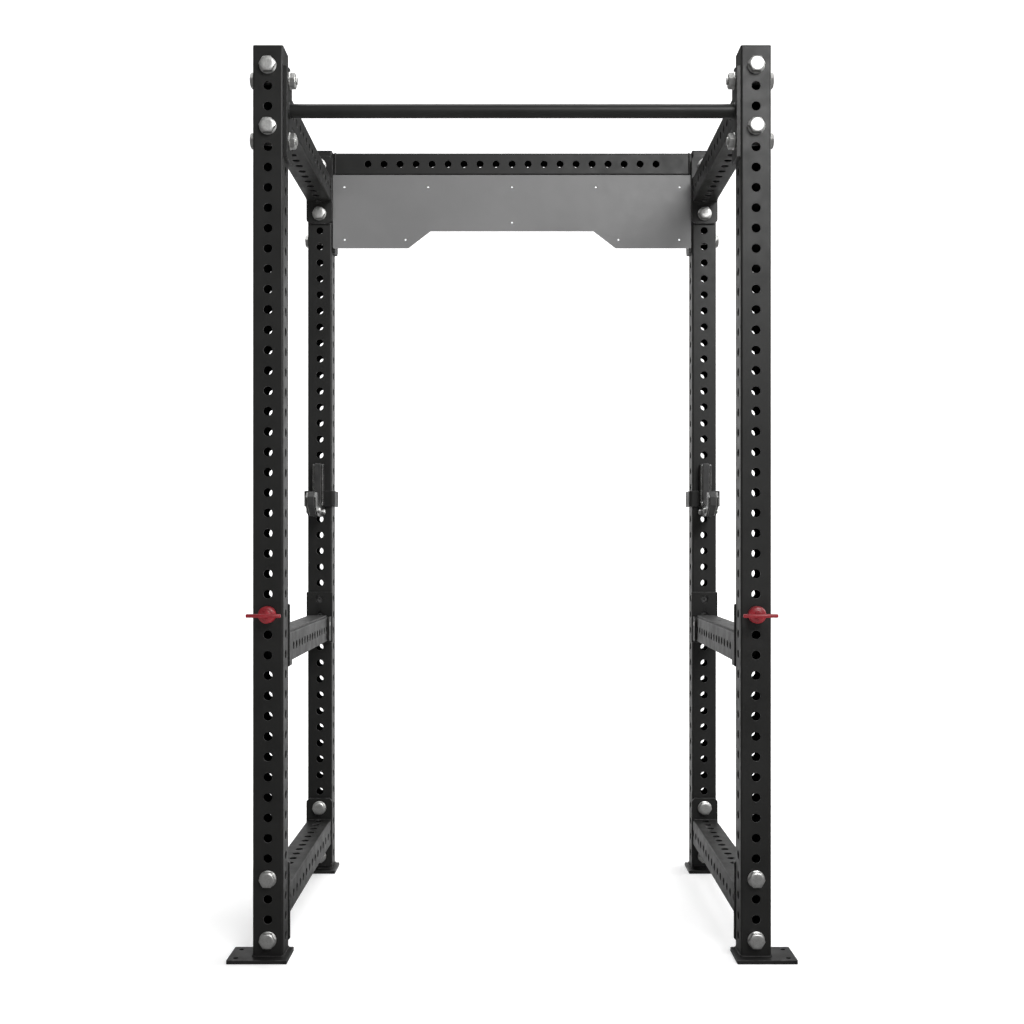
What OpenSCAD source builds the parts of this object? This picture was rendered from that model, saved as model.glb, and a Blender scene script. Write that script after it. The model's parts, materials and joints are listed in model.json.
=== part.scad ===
// Power cage: four perforated square posts on foot plates, joined by bolted side crossmembers,
// a pull-up bar at the front and a rear crossmember with a header panel. Two flip-up safety arms
// rest in saddles locked by pull pins, and two J-cups hang on the rear posts.
// Millimetres, +Z up, -Y is the open front. Origin: middle of the footprint, on the floor.

/* [Frame] */
// Height of the posts, floor to top
frame_h = 2286; // [2184.4:50.8:2387.6]
// Clear width between the left and right posts
inner_w = 1143; // [1041.4:50.8:1244.6]
// Clear depth between the front and rear posts
side_gap = 762; // [660.4:50.8:863.6]
// Outside width of the square tubes
tube_w = 76.2; // [75:0.1:77]
// Wall of the square tubes
tube_t = 3; // [2.5:0.1:4]
// Outside corner radius of the square tubes
tube_r = 5; // [4.5:0.1:6]

/* [Holes] */
// Diameter of the adjustment holes
hole_d = 22.2; // [21.8:0.1:22.6]
// Distance from one adjustment hole to the next
pitch = 50.8; // [50.8, 50]

/* [Feet and plates] */
// Thickness of the foot plates and the bolted end plates
plate_t = 9.5; // [8:0.1:11]
// Width of a foot plate
foot_w = 150; // [140:1:160]
// How far a foot plate stands out beside the post
foot_side = 60; // [52:1:64]
// How far a foot plate stands out in front of the post
foot_front = 30; // [24:1:40]
// Height of a crossmember end plate
end_plate_h = 214; // [206:1:224]

/* [Pull-up bar and header] */
// Outside diameter of the pull-up bar
bar_d = 35; // [28:1:42]
// Size of the square rear crossmember
rear_tube_w = 70; // [66:1:72]
// Depth of the header panel below the rear crossmember
panel_h = 232; // [220:1:240]
// Thickness of the header panel
panel_t = 6.35; // [5:0.05:8]

/* [Safety arms] */
// Number of side holes in a safety arm
arm_holes = 15; // [11:2:15]
// Thickness of the liner strip on a safety arm
strip_t = 5.6; // [4:0.1:6]
// Length of the saddle and hinge cheeks
cheek_len = 46; // [40:1:50]

/* [Pull pins] */
// Diameter of the pin knob
knob_d = 43; // [40:1:50]
// Length of the pin's cross handle
tee_len = 86; // [76:1:96]
// Distance from the post's face to the cross handle's axis
tee_reach = 59; // [54:1:64]

/* [J-cups] */
// Room for the bar between the horn and the lip
seat_len = 92; // [80:1:100]
// Thickness of the plastic core between the hook plates
core_t = 19; // [16:0.5:20]

/* [Hidden] */
eps = 0.5;
half = tube_w / 2;
rows = floor(frame_h / pitch + 0.01) - 1;
post_x = inner_w / 2 + half;
post_step = side_gap + tube_w;
steel_t = 6.35;

// fasteners: each hexagon stands on a round skirt
bolt_d = hole_d - 0.4;
hex_af = 36;
hex_h = 16;
skirt_d = 43;
skirt_t = 3;
bolt_end = 4;
side_head_h = 12;

// front and rear reach of the whole object set the origin at the middle of its depth
tee_d = 9.5;
reach_front = half + tee_reach + tee_d / 2;
reach_rear = half + hex_h + bolt_end;
front_y = (reach_front - reach_rear - post_step) / 2;
rear_y = front_y + post_step;
front_back_y = front_y + half;
rear_front_y = rear_y - half;

// posts
cap_t = 3;
cap_plug = 20;
cap_gap = 0.2;
foot_hole_d = 12.7;
foot_hole_in = 20;

// crossmembers between front and rear posts
end_plate_w = tube_w + 6;
end_chamfer = 10;
bolt_rise = 1.5 * pitch;
upper_z = row_z(0) - bolt_rise;
lower_z = row_z(rows - 1) + bolt_rise;
side_holes = round(side_gap / pitch);
side_tube_len = side_gap - 2 * plate_t;

// pull-up bar
bar_wall = 3;
bar_rows = [0.5, 3.5];
bar_z = row_z(2);
bar_plate_w = 70;
bar_plate_lo = 50.4;
bar_plate_hi = 27.2;

// rear crossmember, flanges and header panel
rear_inset = 3;
rear_rows = [1.5, 4.5];
rear_tube_top = frame_h - 7;
rear_tube_z = rear_tube_top - rear_tube_w / 2;
rear_tube_y = rear_front_y + rear_inset + rear_tube_w / 2;
rear_hole_n = 2 * floor((inner_w / 2 - 110) / pitch) + 1;
flange_lo = 42.6;
flange_y = rear_front_y + rear_inset + panel_t;
flange_w = rear_tube_w - panel_t;
flange_chamfer = 12;
panel_top = rear_tube_top - rear_tube_w;
panel_half = inner_w / 2 - 3;
panel_rise = 54;
panel_cut_half = panel_half * 0.4556;
panel_cut_slope = 70;
panel_hole_d = 6;

// safety arms: t runs back from the front post's back face, z from the floor
pin_row = 27;
stud_row = 29;
fit_gap = 0.3;
arm_top_z = row_z(pin_row) - 54.4;
arm_h = tube_w;
arm_w = tube_w - 2 * steel_t - 2 * fit_gap;
arm_z = arm_top_z - arm_h / 2;
arm_front_gap = 14;
pivot_gap = 28;
pivot_drop = 22;
arm_tail = 15;
pivot_y = rear_front_y - steel_t - pivot_gap;
pivot_z = arm_top_z - pivot_drop;
arm_y0 = front_back_y + steel_t + arm_front_gap;
arm_y1 = pivot_y + arm_tail;
arm_pitch = (side_gap - 139.7) / (arm_holes - 1);
hinge_d = 16;
hinge_bore_d = hinge_d + 0.12;
bracket_w = tube_w + 6;
bracket_h = 160;
bracket_z0 = row_z(pin_row) - 137.6;
stud_d = hole_d - 0.2;
stud_in = 20;
shelf_top = arm_top_z - arm_h - fit_gap;
strip_w = arm_w - 6;
strip_y1 = pivot_y - 10;
screw_d = 12;
screw_t = 1.2;
screw_n = 4;

// pull pins
pin_d = hole_d - 0.2;
pin_tip = 6;
knob_t = 26;
knob_gap = 0.5;
neck_d = 16;

// J-cups: u runs forward from the front of the bracket's strap
cup_row = 20;
cup_z = row_z(cup_row);
cup_gap = 0.5;
cup_liner_t = 4;
cup_strap_y = rear_front_y - cup_gap - cup_liner_t - steel_t;
cup_half_in = half + cup_gap;
cup_half_liner = cup_half_in + cup_liner_t;
cup_half_out = cup_half_liner + steel_t;
cup_band_z = cup_z - 37.7;
cup_band_h = 49;
cup_depth = 82;
cup_stud_in = 38;
cup_stud_d = hole_d - 0.2;
strap_w = core_t + 2 * steel_t;
cup_low = cup_z - 95.2;
cup_high = cup_z + 72.8;
horn_u = 30;
seat_z = cup_z - 57.2;
lip_u0 = horn_u + seat_len;
lip_u1 = lip_u0 + 45;
lip_top = cup_z - 21.6;
lip_face = cup_z - 38;
lip_slope = 14;
lip_low = cup_z - 67.2;
core_proud = 2.5;
cup_bolt_d = 10;
cup_bolt_af = 17;
cup_bolt_h = 6.4;
cup_bolt_at = [[15, cup_low + 14.5], [110, cup_low + 17]];

// height of an adjustment hole, counted down from the top one
function row_z(k) = frame_h - pitch * (k + 1);

// ---- shared shapes ----

module rounded_rect(w, h, r) {
  square([w - 2 * r, h], center = true);
  square([w, h - 2 * r], center = true);
  for (sx = [-1, 1], sy = [-1, 1])
    translate([sx * (w / 2 - r), sy * (h / 2 - r)]) circle(r = r, $fn = 48);
}

module tube_section(w, h) {
  difference() {
    rounded_rect(w, h, tube_r);
    rounded_rect(w - 2 * tube_t, h - 2 * tube_t, tube_r - tube_t);
  }
}

module x_cyl(d, x0, x1, y, z, fn = 64) {
  translate([x0, y, z]) rotate([0, 90, 0]) cylinder(d = d, h = x1 - x0, $fn = fn);
}

module y_cyl(d, x, y0, y1, z, fn = 64) {
  translate([x, y1, z]) rotate([90, 0, 0]) cylinder(d = d, h = y1 - y0, $fn = fn);
}

// hexagons with a corner on each side and flats at the top and bottom
module x_hex(af, x0, x1, y, z) {
  translate([x0, y, z]) rotate([0, 90, 0]) rotate([0, 0, 90])
    cylinder(r = af / sqrt(3), h = x1 - x0, $fn = 6);
}

module y_hex(af, x, y0, y1, z) {
  translate([x, y1, z]) rotate([90, 0, 0]) cylinder(r = af / sqrt(3), h = y1 - y0, $fn = 6);
}

module block(x0, x1, y0, y1, z0, z1) {
  translate([x0, y0, z0]) cube([x1 - x0, y1 - y0, z1 - z0]);
}

// outline drawn in (y, z), extruded along x
module yz_plate(x0, x1, pts) {
  translate([x0, 0, 0]) rotate([90, 0, 90]) linear_extrude(x1 - x0) polygon(pts);
}

// outline drawn in (x, z), extruded along y
module xz_plate(y0, y1, pts) {
  translate([0, y1, 0]) rotate([90, 0, 0]) linear_extrude(y1 - y0) polygon(pts);
}

// builds the left-hand version, or its mirror image for the right
module on_side(left) {
  if (left) children();
  else mirror([1, 0, 0]) children();
}

// ---- posts ----

// the side faces swap the grid holes next to a side bolt for one hole half a step off the grid
function side_rows(bolt_rows) =
  concat([for (k = [0 : rows - 1]) if (min([for (b = bolt_rows) abs(k - b)]) > 0.6) k], bolt_rows);

module upright(left, y, bolt_rows) {
  color("#17181a") on_side(left) difference() {
    translate([-post_x, y, plate_t]) linear_extrude(frame_h - cap_t - plate_t) tube_section(tube_w, tube_w);
    for (k = side_rows(bolt_rows)) x_cyl(hole_d, -post_x - half - eps, -post_x + half + eps, y, row_z(k), 48);
    for (k = [0 : rows - 1]) y_cyl(hole_d, -post_x, y - half - eps, y + half + eps, row_z(k), 48);
  }
}

module foot_plate(left, y) {
  x0 = -post_x - half - foot_side;
  y0 = y - half - foot_front;
  y1 = y + half;
  color("#17181a") on_side(left) difference() {
    block(x0, x0 + foot_w, y0, y1, 0, plate_t);
    for (hy = [y0 + foot_hole_in, y1 - foot_hole_in])
      translate([x0 + foot_hole_in, hy, -eps]) cylinder(d = foot_hole_d, h = plate_t + 2 * eps, $fn = 48);
  }
}

module post_top_caps() {
  plug_w = tube_w - 2 * tube_t - 2 * cap_gap;
  color("#101011") for (sx = [-1, 1], y = [front_y, rear_y])
    translate([sx * post_x, y, frame_h - cap_t]) {
      linear_extrude(cap_t) rounded_rect(tube_w, tube_w, tube_r);
      translate([0, 0, -cap_plug]) linear_extrude(cap_plug) difference() {
        rounded_rect(plug_w, plug_w, tube_r - tube_t);
        square(plug_w - 8, center = true);
      }
    }
}

// ---- side crossmembers ----

module crossmember(left, z) {
  color("#17181a") on_side(left) difference() {
    translate([-post_x, rear_front_y - plate_t, z]) rotate([90, 0, 0])
      linear_extrude(side_tube_len) tube_section(tube_w, tube_w);
    for (i = [0 : side_holes - 1]) {
      y = front_back_y + pitch * (i + 0.5);
      x_cyl(hole_d, -post_x - half - eps, -post_x + half + eps, y, z, 48);
      translate([-post_x, y, z - half - eps]) cylinder(d = hole_d, h = tube_w + 2 * eps, $fn = 48);
    }
  }
}

module end_plate(y0, z) {
  w = end_plate_w / 2;
  h = end_plate_h / 2;
  c = end_chamfer;
  difference() {
    xz_plate(y0, y0 + plate_t, [for (p = [[-w, -h + c], [-w + c, -h], [w - c, -h], [w, -h + c],
      [w, h - c], [w - c, h], [-w + c, h], [-w, h - c]]) [p[0] - post_x, p[1] + z]]);
    for (s = [-1, 1]) y_cyl(hole_d, -post_x, y0 - eps, y0 + plate_t + eps, z + s * bolt_rise, 48);
  }
}

module end_plates(left, z) {
  color("#17181a") on_side(left) {
    end_plate(front_back_y, z);
    end_plate(rear_front_y - plate_t, z);
  }
}

module crossmember_bolts() {
  front_head = front_y - half;
  rear_head = rear_front_y - plate_t;
  grip = tube_w + plate_t;
  color("#9a9ca0") for (sx = [-1, 1], z = [upper_z, lower_z], s = [-1, 1], head = [front_head, rear_head]) {
    y_hex(hex_af, sx * post_x, head - hex_h, head, z + s * bolt_rise);
    y_cyl(skirt_d, sx * post_x, head - skirt_t, head, z + s * bolt_rise);
    y_cyl(bolt_d, sx * post_x, head - 1, head + grip + hex_h + bolt_end, z + s * bolt_rise);
  }
}

module crossmember_nuts() {
  color("#8a8c90") for (sx = [-1, 1], z = [upper_z, lower_z], s = [-1, 1],
    y0 = [front_back_y + plate_t, rear_y + half]) difference() {
    union() {
      y_hex(hex_af, sx * post_x, y0, y0 + hex_h, z + s * bolt_rise);
      y_cyl(skirt_d, sx * post_x, y0, y0 + skirt_t, z + s * bolt_rise);
    }
    y_cyl(bolt_d, sx * post_x, y0 - eps, y0 + hex_h + eps, z + s * bolt_rise);
  }
}

// ---- pull-up bar ----

module pull_up_bar() {
  end_x = inner_w / 2 - plate_t;
  color("#17181a") difference() {
    x_cyl(bar_d, -end_x, end_x, front_y, bar_z, 96);
    x_cyl(bar_d - 2 * bar_wall, -end_x - eps, end_x + eps, front_y, bar_z, 96);
  }
}

module side_plate(y0, y1, z0, z1, c, rows_used, hy) {
  difference() {
    yz_plate(-inner_w / 2, -inner_w / 2 + plate_t,
      [[y0, z0], [y1 - c, z0], [y1, z0 + c], [y1, z1], [y0, z1]]);
    for (k = rows_used) x_cyl(hole_d, -inner_w / 2 - eps, -inner_w / 2 + plate_t + eps, hy, row_z(k), 48);
  }
}

module pull_up_bar_end_plates() {
  w = bar_plate_w / 2;
  color("#17181a") for (left = [true, false]) on_side(left)
    side_plate(front_y - w, front_y + w, row_z(bar_rows[1]) - bar_plate_lo, row_z(bar_rows[0]) + bar_plate_hi,
      5, bar_rows, front_y);
}

module side_bolts(y, rows_used) {
  outer = post_x + half;
  nut_x = inner_w / 2 - plate_t - hex_h;
  for (left = [true, false], k = rows_used) on_side(left) {
    x_hex(hex_af, -outer - side_head_h, -outer, y, row_z(k));
    x_cyl(skirt_d, -outer - skirt_t, -outer, y, row_z(k));
    x_cyl(bolt_d, -outer - 1, -nut_x + bolt_end, y, row_z(k));
  }
}

module side_nuts(y, rows_used) {
  nut_x = inner_w / 2 - plate_t;
  for (left = [true, false], k = rows_used) on_side(left) difference() {
    union() {
      x_hex(hex_af, -nut_x, -nut_x + hex_h, y, row_z(k));
      x_cyl(skirt_d, -nut_x, -nut_x + skirt_t, y, row_z(k));
    }
    x_cyl(bolt_d, -nut_x - eps, -nut_x + hex_h + eps, y, row_z(k));
  }
}

module pull_up_bar_bolts() {
  color("#9a9ca0") side_bolts(front_y, bar_rows);
}

module pull_up_bar_nuts() {
  color("#8a8c90") side_nuts(front_y, bar_rows);
}

// ---- rear crossmember and header panel ----

module rear_crossmember() {
  end_x = inner_w / 2 - plate_t;
  color("#17181a") difference() {
    translate([-end_x, rear_tube_y, rear_tube_z]) rotate([90, 0, 90])
      linear_extrude(2 * end_x) tube_section(rear_tube_w, rear_tube_w);
    for (i = [0 : rear_hole_n - 1]) y_cyl(hole_d, (i - (rear_hole_n - 1) / 2) * pitch,
      rear_tube_y - rear_tube_w / 2 - eps, rear_tube_y + rear_tube_w / 2 + eps, rear_tube_z, 48);
  }
}

module rear_crossmember_flanges() {
  color("#17181a") for (left = [true, false]) on_side(left)
    side_plate(flange_y, flange_y + flange_w, row_z(rear_rows[1]) - flange_lo, rear_tube_top + 1,
      flange_chamfer, rear_rows, rear_y);
}

module rear_crossmember_bolts() {
  color("#9a9ca0") side_bolts(rear_y, rear_rows);
}

module rear_crossmember_nuts() {
  color("#8a8c90") side_nuts(rear_y, rear_rows);
}

module header_panel() {
  y0 = rear_front_y + rear_inset;
  low = panel_top - panel_h;
  cut = low + panel_rise;
  w = panel_half;
  top_holes = [for (i = [-2 : 2]) [i * 266 * w / 568.5, panel_top - 38]];
  low_holes = [for (s = [-1, 1], x = [338, 531]) [s * x * w / 568.5, low + 27]];
  color("#77797c") difference() {
    xz_plate(y0, y0 + panel_t, [[-w, panel_top], [-w, low], [-panel_cut_half - panel_cut_slope, low],
      [-panel_cut_half, cut], [panel_cut_half, cut], [panel_cut_half + panel_cut_slope, low], [w, low],
      [w, panel_top]]);
    for (p = concat(top_holes, low_holes, [[0, cut + 27.6]]))
      y_cyl(panel_hole_d, p[0], y0 - eps, y0 + panel_t + eps, p[1], 32);
  }
}

// ---- safety arms ----

// two side cheeks from y0 to y1
module cheeks(y0, y1, z0, z1) {
  for (s = [-1, 1]) block(-post_x + s * (half - steel_t / 2) - steel_t / 2,
    -post_x + s * (half - steel_t / 2) + steel_t / 2, y0, y1, z0, z1);
}

module saddle_bracket(left) {
  y0 = front_back_y;
  y1 = y0 + steel_t;
  stud_z = row_z(stud_row);
  color("#17181a") on_side(left) {
    difference() {
      block(-post_x - bracket_w / 2, -post_x + bracket_w / 2, y0, y1, bracket_z0, bracket_z0 + bracket_h);
      y_cyl(hole_d, -post_x, y0 - eps, y1 + eps, row_z(pin_row), 48);
    }
    y_cyl(stud_d, -post_x, y0 - stud_in, y0 + 1, stud_z, 48);
    cheeks(y1 - 1, y1 + cheek_len, bracket_z0, arm_top_z);
    block(-post_x - half + 1, -post_x + half - 1, y1 - 1, y1 + cheek_len, bracket_z0, shelf_top);
  }
}

module hinge_bracket(left) {
  y1 = rear_front_y;
  y0 = y1 - steel_t;
  color("#17181a") on_side(left) {
    block(-post_x - bracket_w / 2, -post_x + bracket_w / 2, y0, y1, bracket_z0, bracket_z0 + bracket_h);
    for (k = [pin_row, pin_row + 1]) y_cyl(stud_d, -post_x, y1 - 1, y1 + stud_in, row_z(k), 48);
    difference() {
      cheeks(y0 - cheek_len, y0 + 1, bracket_z0 + 7, arm_top_z);
      x_cyl(hinge_d, -post_x - half - eps, -post_x + half + eps, pivot_y, pivot_z);
    }
  }
}

module hinge_pin(left) {
  color("#9a9ca0") on_side(left) x_cyl(hinge_d, -post_x - half, -post_x + half, pivot_y, pivot_z);
}

module safety_arm(left) {
  mid = (front_back_y + rear_front_y) / 2;
  color("#17181a") on_side(left) difference() {
    translate([-post_x, arm_y1, arm_z]) rotate([90, 0, 0])
      linear_extrude(arm_y1 - arm_y0) tube_section(arm_w, arm_h);
    for (i = [0 : arm_holes - 1]) x_cyl(hole_d, -post_x - half, -post_x + half,
      mid + (i - (arm_holes - 1) / 2) * arm_pitch, arm_z, 48);
    x_cyl(hinge_bore_d, -post_x - half, -post_x + half, pivot_y, pivot_z);
  }
}

// y positions of the screws along the liner strip
function screw_y(i) = arm_y0 + 40 + i * (strip_y1 - arm_y0 - 80) / (screw_n - 1);

module arm_liner(left) {
  color("#121213") on_side(left) difference() {
    block(-post_x - strip_w / 2, -post_x + strip_w / 2, arm_y0, strip_y1, arm_top_z, arm_top_z + strip_t);
    for (i = [0 : screw_n - 1]) translate([-post_x, screw_y(i), arm_top_z + strip_t - screw_t - 1])
      cylinder(d = screw_d, h = screw_t + 2, $fn = 32);
  }
}

module liner_screws(left) {
  color("#8a8c90") on_side(left) for (i = [0 : screw_n - 1])
    translate([-post_x, screw_y(i), arm_top_z + strip_t - screw_t - 1])
      cylinder(d = screw_d, h = screw_t, $fn = 32);
}

// ---- pull pins ----

module pin_shaft(left) {
  y0 = front_y - half;
  color("#9a9ca0") on_side(left)
    y_cyl(pin_d, -post_x, y0 - knob_gap, front_back_y + steel_t + pin_tip, row_z(pin_row));
}

module pin_knob(left) {
  y1 = front_y - half - knob_gap;
  color("#a81c26") on_side(left) {
    y_cyl(knob_d, -post_x, y1 - knob_t, y1, row_z(pin_row), 96);
    difference() {
      y_cyl(neck_d, -post_x, front_y - half - tee_reach, y1 - knob_t + 1, row_z(pin_row));
      x_cyl(tee_d, -post_x - tee_len / 2, -post_x + tee_len / 2, front_y - half - tee_reach, row_z(pin_row));
    }
  }
}

module pin_handle(left) {
  y = front_y - half - tee_reach;
  color("#a81c26") on_side(left)
    x_cyl(tee_d, -post_x - tee_len / 2, -post_x + tee_len / 2, y, row_z(pin_row));
}

// ---- J-cups ----

module j_cup_bracket(left) {
  y0 = cup_strap_y;
  y1 = y0 + steel_t;
  color("#17181a") on_side(left) {
    block(-post_x - strap_w / 2, -post_x + strap_w / 2, y0, y1, cup_low, cup_high);
    block(-post_x - cup_half_out, -post_x + cup_half_out, y0, y1, cup_band_z - cup_band_h / 2,
      cup_band_z + cup_band_h / 2);
    for (s = [-1, 1]) block(-post_x + s * (cup_half_out - steel_t / 2) - steel_t / 2,
      -post_x + s * (cup_half_out - steel_t / 2) + steel_t / 2, y1 - 1, y0 + cup_depth,
      cup_band_z - cup_band_h / 2, cup_band_z + cup_band_h / 2);
    y_cyl(cup_stud_d, -post_x, y1 - 1, rear_front_y + cup_stud_in, cup_z, 48);
  }
}

module j_cup_liner(left) {
  y0 = cup_strap_y + steel_t;
  y1 = y0 + cup_liner_t;
  z0 = cup_band_z - cup_band_h / 2;
  z1 = cup_band_z + cup_band_h / 2;
  color("#1b1b1c") on_side(left) {
    block(-post_x - cup_half_liner, -post_x + cup_half_liner, y0, y1, z0, z1);
    for (s = [-1, 1]) block(-post_x + s * (cup_half_liner - cup_liner_t / 2) - cup_liner_t / 2,
      -post_x + s * (cup_half_liner - cup_liner_t / 2) + cup_liner_t / 2,
      y1 - 1, cup_strap_y + cup_depth, z0, z1);
  }
}

// hook outline in (u, z); d draws every upper and front edge back by that much
function hook_outline(d) = [[0, cup_low], [lip_u0, cup_low], [lip_u1 - d, lip_low - d / 2],
  [lip_u1 - d, lip_face], [lip_u1 - lip_slope - d / 2, lip_top - d], [lip_u0 + d, lip_top - d],
  [lip_u0 + d, seat_z - d], [horn_u - d, seat_z - d], [horn_u - d, cup_high - d], [0, cup_high - d]];

module hook_slab(x0, x1, d) {
  difference() {
    yz_plate(x0, x1, [for (p = hook_outline(d)) [cup_strap_y - p[0], p[1]]]);
    for (b = cup_bolt_at) x_cyl(cup_bolt_d, x0 - eps, x1 + eps, cup_strap_y - b[0], b[1], 32);
  }
}

module j_cup_plates(left) {
  color("#17181a") on_side(left) for (s = [-1, 1])
    hook_slab(-post_x + s * (core_t / 2 + steel_t / 2) - steel_t / 2,
      -post_x + s * (core_t / 2 + steel_t / 2) + steel_t / 2, core_proud);
}

module j_cup_core(left) {
  color("#1b1b1c") on_side(left) hook_slab(-post_x - core_t / 2, -post_x + core_t / 2, 0);
}

module j_cup_bolts(left) {
  face = strap_w / 2;
  color("#9a9ca0") on_side(left) for (b = cup_bolt_at) {
    y = cup_strap_y - b[0];
    x_cyl(cup_bolt_d, -post_x - face - 1, -post_x + face + 1, y, b[1], 32);
    for (s = [-1, 1]) x_hex(cup_bolt_af, -post_x + s * (face + cup_bolt_h / 2) - cup_bolt_h / 2,
      -post_x + s * (face + cup_bolt_h / 2) + cup_bolt_h / 2, y, b[1]);
  }
}

upright(true, front_y, bar_rows);  // front_left_upright
upright(false, front_y, bar_rows);  // front_right_upright
upright(true, rear_y, rear_rows);  // rear_left_upright
upright(false, rear_y, rear_rows);  // rear_right_upright
foot_plate(true, front_y);  // front_left_foot_plate
foot_plate(false, front_y);  // front_right_foot_plate
foot_plate(true, rear_y);  // rear_left_foot_plate
foot_plate(false, rear_y);  // rear_right_foot_plate
post_top_caps();
crossmember(true, upper_z);  // upper_left_crossmember
crossmember(false, upper_z);  // upper_right_crossmember
crossmember(true, lower_z);  // lower_left_crossmember
crossmember(false, lower_z);  // lower_right_crossmember
end_plates(true, upper_z);  // upper_left_end_plates
end_plates(false, upper_z);  // upper_right_end_plates
end_plates(true, lower_z);  // lower_left_end_plates
end_plates(false, lower_z);  // lower_right_end_plates
crossmember_bolts();
crossmember_nuts();
pull_up_bar();
pull_up_bar_end_plates();
pull_up_bar_bolts();
pull_up_bar_nuts();
rear_crossmember();
rear_crossmember_flanges();
rear_crossmember_bolts();
rear_crossmember_nuts();
header_panel();
saddle_bracket(true);  // left_saddle_bracket
saddle_bracket(false);  // right_saddle_bracket
hinge_bracket(true);  // left_hinge_bracket
hinge_bracket(false);  // right_hinge_bracket
hinge_pin(true);  // left_hinge_pin
hinge_pin(false);  // right_hinge_pin
safety_arm(true);  // left_safety_arm
safety_arm(false);  // right_safety_arm
arm_liner(true);  // left_arm_liner
arm_liner(false);  // right_arm_liner
liner_screws(true);  // left_liner_screws
liner_screws(false);  // right_liner_screws
pin_shaft(true);  // left_pin_shaft
pin_shaft(false);  // right_pin_shaft
pin_knob(true);  // left_pin_knob
pin_knob(false);  // right_pin_knob
pin_handle(true);  // left_pin_handle
pin_handle(false);  // right_pin_handle
j_cup_bracket(true);  // left_j_cup_bracket
j_cup_bracket(false);  // right_j_cup_bracket
j_cup_liner(true);  // left_j_cup_liner
j_cup_liner(false);  // right_j_cup_liner
j_cup_plates(true);  // left_j_cup_plates
j_cup_plates(false);  // right_j_cup_plates
j_cup_core(true);  // left_j_cup_core
j_cup_core(false);  // right_j_cup_core
j_cup_bolts(true);  // left_j_cup_bolts
j_cup_bolts(false);  // right_j_cup_bolts
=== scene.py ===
import json
import math
import random

import bmesh
import bpy
from mathutils import Matrix, Vector

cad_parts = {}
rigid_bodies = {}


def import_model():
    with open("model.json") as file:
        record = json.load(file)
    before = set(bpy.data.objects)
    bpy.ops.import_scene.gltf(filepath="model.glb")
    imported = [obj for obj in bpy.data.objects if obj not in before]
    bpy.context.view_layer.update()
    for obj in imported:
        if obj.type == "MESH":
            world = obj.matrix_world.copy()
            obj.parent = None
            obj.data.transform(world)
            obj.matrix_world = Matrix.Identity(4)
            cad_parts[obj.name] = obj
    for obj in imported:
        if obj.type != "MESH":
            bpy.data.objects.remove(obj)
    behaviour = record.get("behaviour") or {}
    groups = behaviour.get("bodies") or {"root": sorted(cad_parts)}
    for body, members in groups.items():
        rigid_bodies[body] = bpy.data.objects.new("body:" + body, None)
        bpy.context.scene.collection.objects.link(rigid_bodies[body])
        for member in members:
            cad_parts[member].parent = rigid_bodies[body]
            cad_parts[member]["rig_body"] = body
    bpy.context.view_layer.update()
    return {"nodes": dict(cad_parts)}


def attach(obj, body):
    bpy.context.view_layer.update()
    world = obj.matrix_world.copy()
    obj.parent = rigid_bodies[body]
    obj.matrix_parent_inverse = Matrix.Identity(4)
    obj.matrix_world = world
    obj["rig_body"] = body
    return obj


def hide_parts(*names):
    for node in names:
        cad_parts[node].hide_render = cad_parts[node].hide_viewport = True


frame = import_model()
random.seed(7)

# ---------------------------------------------------------------- sizes, in mm
MM = 0.001
FRAME_H, TUBE, WALL, TUBE_R = 2286.0, 76.2, 3.0, 5.0
HALF = TUBE / 2
PITCH, HOLE_R, ROWS = 50.8, 11.1, 44
POST_X = 609.6
FRONT_Y, REAR_Y = -397.225, 440.975
FRONT_BACK, REAR_FRONT = FRONT_Y + HALF, REAR_Y - HALF
INNER_X = POST_X - HALF
PLATE_T, STEEL_T, CAP_T = 9.5, 6.35, 3.0
HEX_AF, HEX_H, BOLT_R = 36.0, 16.0, 10.9
SIDE_HEAD_H = 12.0
SKIRT_R, SKIRT_T = 21.5, 3.0
BOLT_GRIP, BOLT_TAIL = TUBE + PLATE_T, HEX_H + 3.6
BOLT_RISE = 1.5 * PITCH
EDGE_LAP = 3.0  # how far plates stand out past the post's sides
# rows of holes are counted down from the top; the bolts along X sit half a step off them
BAR_ROWS, REAR_ROWS = (0.5, 3.5), (1.5, 4.5)
BAR_ROW, CUP_ROW, PIN_ROW = 2, 20, 27
SIDES = {"left": -1, "right": 1}


def row_z(k):
    """Height of an adjustment hole."""
    return FRAME_H - PITCH * (k + 1)


UPPER_Z, LOWER_Z = row_z(0) - BOLT_RISE, row_z(ROWS - 1) + BOLT_RISE
PIN_Z = row_z(PIN_ROW)
ARM_TOP = PIN_Z - 54.4
PIVOT_Y, PIVOT_Z = REAR_FRONT - STEEL_T - 28, ARM_TOP - 22

ALONG = {
    "+X": Matrix.Rotation(math.radians(90), 4, "Y"),
    "-X": Matrix.Rotation(math.radians(-90), 4, "Y"),
    "-Y": Matrix.Rotation(math.radians(90), 4, "X"),
    "+Y": Matrix.Rotation(math.radians(-90), 4, "X"),
    "+Z": Matrix.Identity(4),
    "-Z": Matrix.Rotation(math.radians(180), 4, "X"),
}
# an outline drawn in (x, y) stands up in (y, z)
YZ = Matrix(((0, 0, 1, 0), (1, 0, 0, 0), (0, 1, 0, 0), (0, 0, 0, 1)))


def at(x, y, z, along="+Z"):
    """Local frame at a place in mm, with its Z axis along the given direction."""
    return Matrix.Translation((x, y, z)) @ ALONG[along]


# ---------------------------------------------------------------- mesh helpers
def circle(cx, cy, r, n=40):
    turns = [2 * math.pi * i / n for i in range(n)]
    return [(cx + r * math.cos(a), cy + r * math.sin(a)) for a in turns]


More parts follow.
